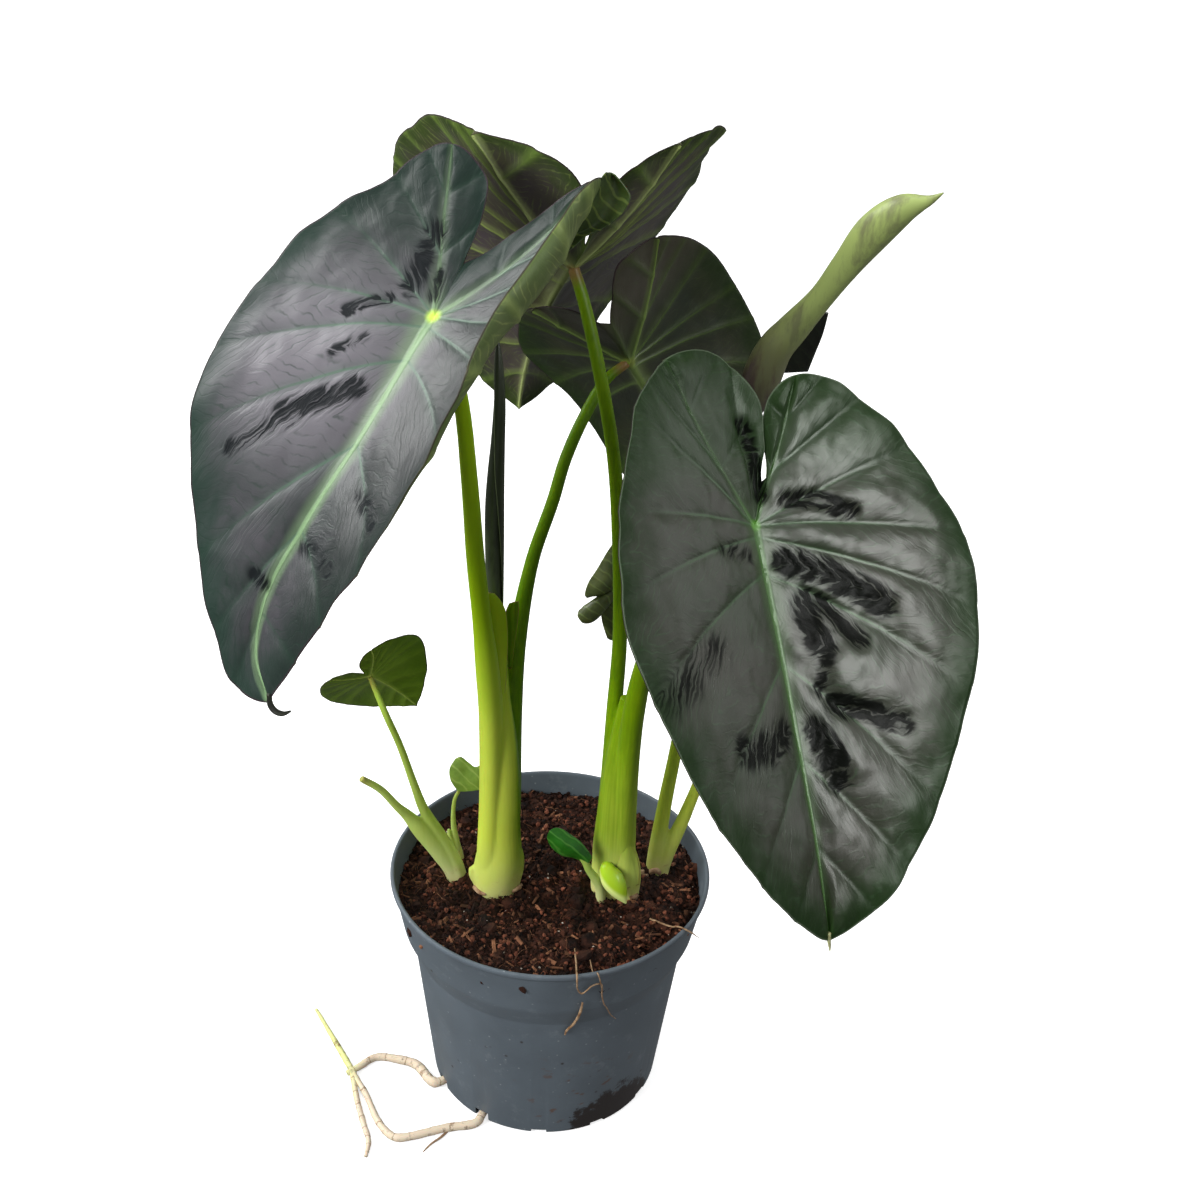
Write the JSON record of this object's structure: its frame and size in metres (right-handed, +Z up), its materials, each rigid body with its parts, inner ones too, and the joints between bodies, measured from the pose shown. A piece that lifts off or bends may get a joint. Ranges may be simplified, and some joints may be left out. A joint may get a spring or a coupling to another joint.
{
  "type": "potted aloha colocasia",
  "caption": "Leafy elephant ear plant with large heart-shaped hanging blades on upright fleshy petioles, growing in soil in a plain tapered growers pot.",
  "frame": {"origin": "middle of the flat underside of the pot, on the surface that it stands on", "axes": "+Z up along the pot's axis, +X to the plant's right as the picture shows it, -Y to its front"},
  "size_m": [0.3801, 0.3766, 0.5801],
  "materials": {
    "pot": "moulded grey plastic, satin, dusty",
    "soil": "moist peat and coir with bark chips, matt",
    "root": "bare root skin, waxy",
    "petiole": "smooth waxy petiole skin",
    "petiole_pale": "smooth waxy young petiole skin",
    "spear": "rolled young blade, satin",
    "bud": "tight yellow-green bud skin, waxy",
    "blade_grey": "mature blade, satin with a grey sheen",
    "blade_dark": "mature blade, dark and glossy, quilted",
    "blade_back": "underside of a blade, satin with light veins",
    "blade_young": "young rolled blade, satin",
    "blade_small": "small juvenile blade, satin"
  },
  "bodies": {
    "root": {"pot": "pot", "soil": "soil", "roots": "root", "left_clump_stems": "petiole", "centre_clump_stems": "petiole", "right_shoot_stems": "petiole", "left_shoot_stems": "petiole_pale", "tiny_shoot_stem": "petiole_pale", "rolled_new_leaf": "spear", "base_bud": "bud", "front_left_blade": "blade_grey", "front_right_blade": "blade_dark", "top_back_blade": "blade_back", "middle_back_blade": "blade_back", "young_rolled_blade": "blade_young", "small_folded_blade": "blade_back", "left_small_blade": "blade_small", "tiny_blade": "blade_small", "sucker_leaf": "blade_small"}
  },
  "joints": []
}
